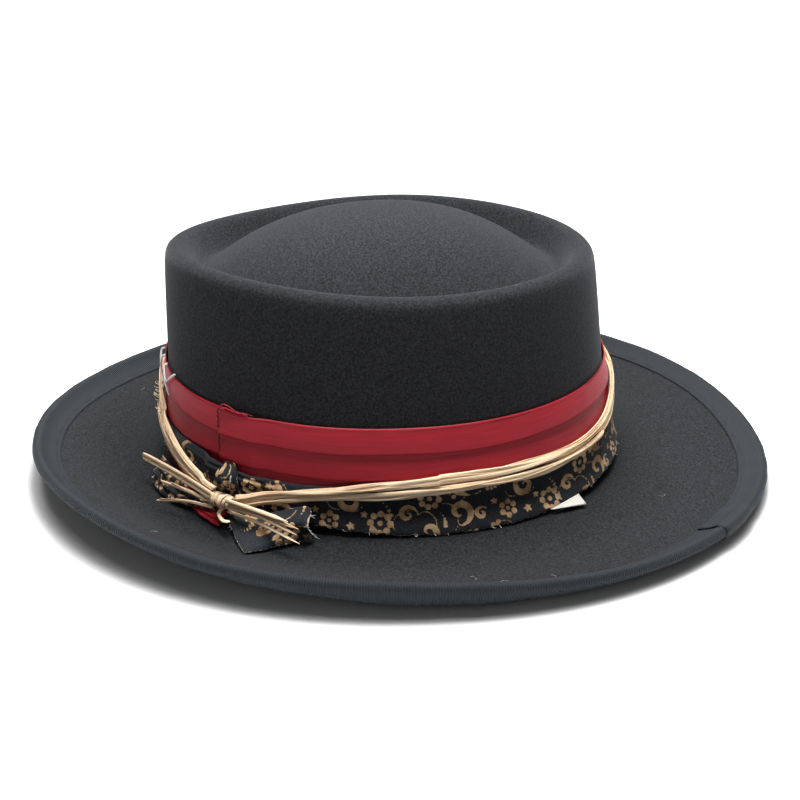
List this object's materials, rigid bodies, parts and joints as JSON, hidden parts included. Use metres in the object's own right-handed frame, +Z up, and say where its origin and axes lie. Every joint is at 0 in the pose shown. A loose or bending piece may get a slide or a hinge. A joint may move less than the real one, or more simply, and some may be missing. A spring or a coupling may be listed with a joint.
{
  "type": "gambler hat",
  "caption": "Black felt hat with a telescope crown and a brim turned up at its sides, trimmed with a pleated red satin band, a knotted printed cotton strip and a raffia tie.",
  "frame": {"origin": "middle of the hat's outline, on the surface that the brim rests on", "axes": "+Z up, the front of the hat faces -Y, the wearer's left is +X"},
  "size_m": [0.2948, 0.3379, 0.1184],
  "materials": {
    "felt": "black wool felt, matt, with a fine speckle",
    "tape": "ribbed tape in bluish charcoal, ribs across its length",
    "satin": "red satin, soft sheen",
    "print": "near-black printed cotton with tan flowers and scrolls, matt",
    "raffia": "cream and tan raffia, dry and fibrous"
  },
  "bodies": {
    "root": {"felt_body": "felt", "brim_binding": "tape", "red_hatband": "satin", "red_tail": "satin", "printed_band": "print", "printed_knot": "print", "printed_tail_front": "print", "printed_tail_back": "print", "raffia_upper_strand": "raffia", "raffia_lower_strand": "raffia", "raffia_knot": "raffia", "raffia_tail_1": "raffia", "raffia_tail_2": "raffia", "raffia_tail_3": "raffia", "raffia_tail_4": "raffia", "raffia_tail_5": "raffia", "raffia_tail_6": "raffia"}
  },
  "joints": []
}
